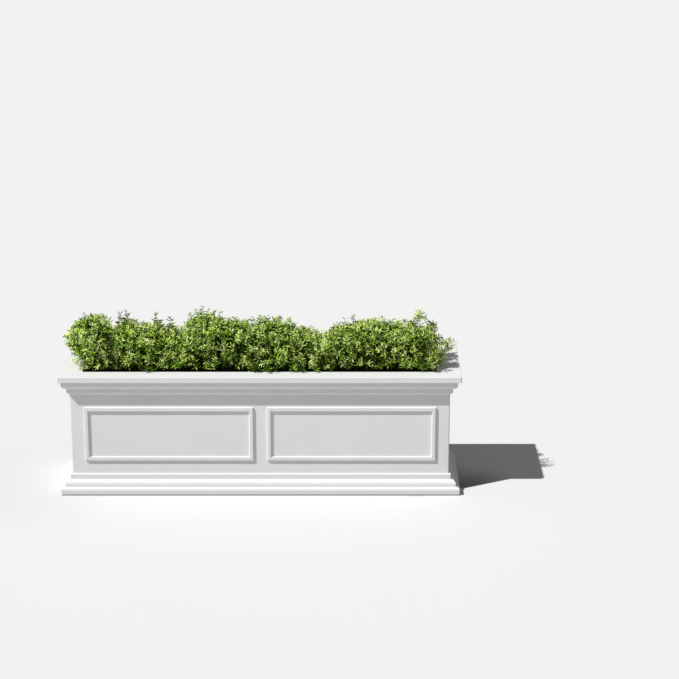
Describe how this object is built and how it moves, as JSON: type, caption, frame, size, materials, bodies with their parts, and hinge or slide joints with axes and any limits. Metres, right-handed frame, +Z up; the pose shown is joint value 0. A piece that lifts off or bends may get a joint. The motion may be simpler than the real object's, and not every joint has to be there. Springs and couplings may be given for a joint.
{
  "type": "window box planter",
  "caption": "Long white panelled window box planter with moulded rim and stepped plinth, a lift-out black liner with drain stoppers, and a hedge of narrow-leaved plants.",
  "frame": {"origin": "on the floor, under the middle of the box", "axes": "+X along the length towards the right end, +Y from the front to the back, +Z up"},
  "size_m": [0.914, 0.24, 0.4053],
  "materials": {
    "painted_board": "satin",
    "pad_rubber": "matte",
    "screw_steel": "satin",
    "liner_plastic": "matte",
    "stopper_rubber": "matte",
    "potting_soil": "matte",
    "foliage": "matte"
  },
  "bodies": {
    "planter_box": {"wall_front": "painted_board", "wall_back": "painted_board", "wall_left": "painted_board", "wall_right": "painted_board", "post_front_left": "painted_board", "post_front_right": "painted_board", "post_back_left": "painted_board", "post_back_right": "painted_board", "floor_slat_1": "painted_board", "floor_slat_2": "painted_board", "floor_slat_3": "painted_board", "floor_slat_4": "painted_board", "floor_slat_5": "painted_board", "floor_slat_6": "painted_board", "cleat_front": "painted_board", "cleat_back": "painted_board", "cleat_screws": "screw_steel", "foot_pads": "pad_rubber", "rim_front": "painted_board", "rim_back": "painted_board", "rim_left": "painted_board", "rim_right": "painted_board", "crown_front": "painted_board", "crown_back": "painted_board", "crown_left": "painted_board", "crown_right": "painted_board", "frame_front_left": "painted_board", "frame_front_right": "painted_board", "frame_back_left": "painted_board", "frame_back_right": "painted_board", "plinth_low_front": "painted_board", "plinth_low_back": "painted_board", "plinth_low_left": "painted_board", "plinth_low_right": "painted_board", "plinth_mid_front": "painted_board", "plinth_mid_back": "painted_board", "plinth_mid_left": "painted_board", "plinth_mid_right": "painted_board", "plinth_top_front": "painted_board", "plinth_top_back": "painted_board", "plinth_top_left": "painted_board", "plinth_top_right": "painted_board"},
    "planted_liner": {"liner": "liner_plastic", "soil": "potting_soil", "plant_1": "foliage", "plant_2": "foliage", "plant_3": "foliage", "plant_4": "foliage", "plant_5": "foliage", "plant_6": "foliage", "plant_7": "foliage"},
    "left_stopper": {"stopper_left": "stopper_rubber"},
    "right_stopper": {"stopper_right": "stopper_rubber"}
  },
  "joints": [
    {"name": "liner_lift", "type": "slide", "parent": "planter_box", "child": "planted_liner", "axis": [0, 0, 1], "range_m": [0, 0.25]},
    {"name": "left_stopper_pull", "type": "slide", "parent": "planted_liner", "child": "left_stopper", "axis": [0, 0, -1], "range_m": [0, 0.015]},
    {"name": "right_stopper_pull", "type": "slide", "parent": "planted_liner", "child": "right_stopper", "axis": [0, 0, -1], "range_m": [0, 0.015]}
  ]
}
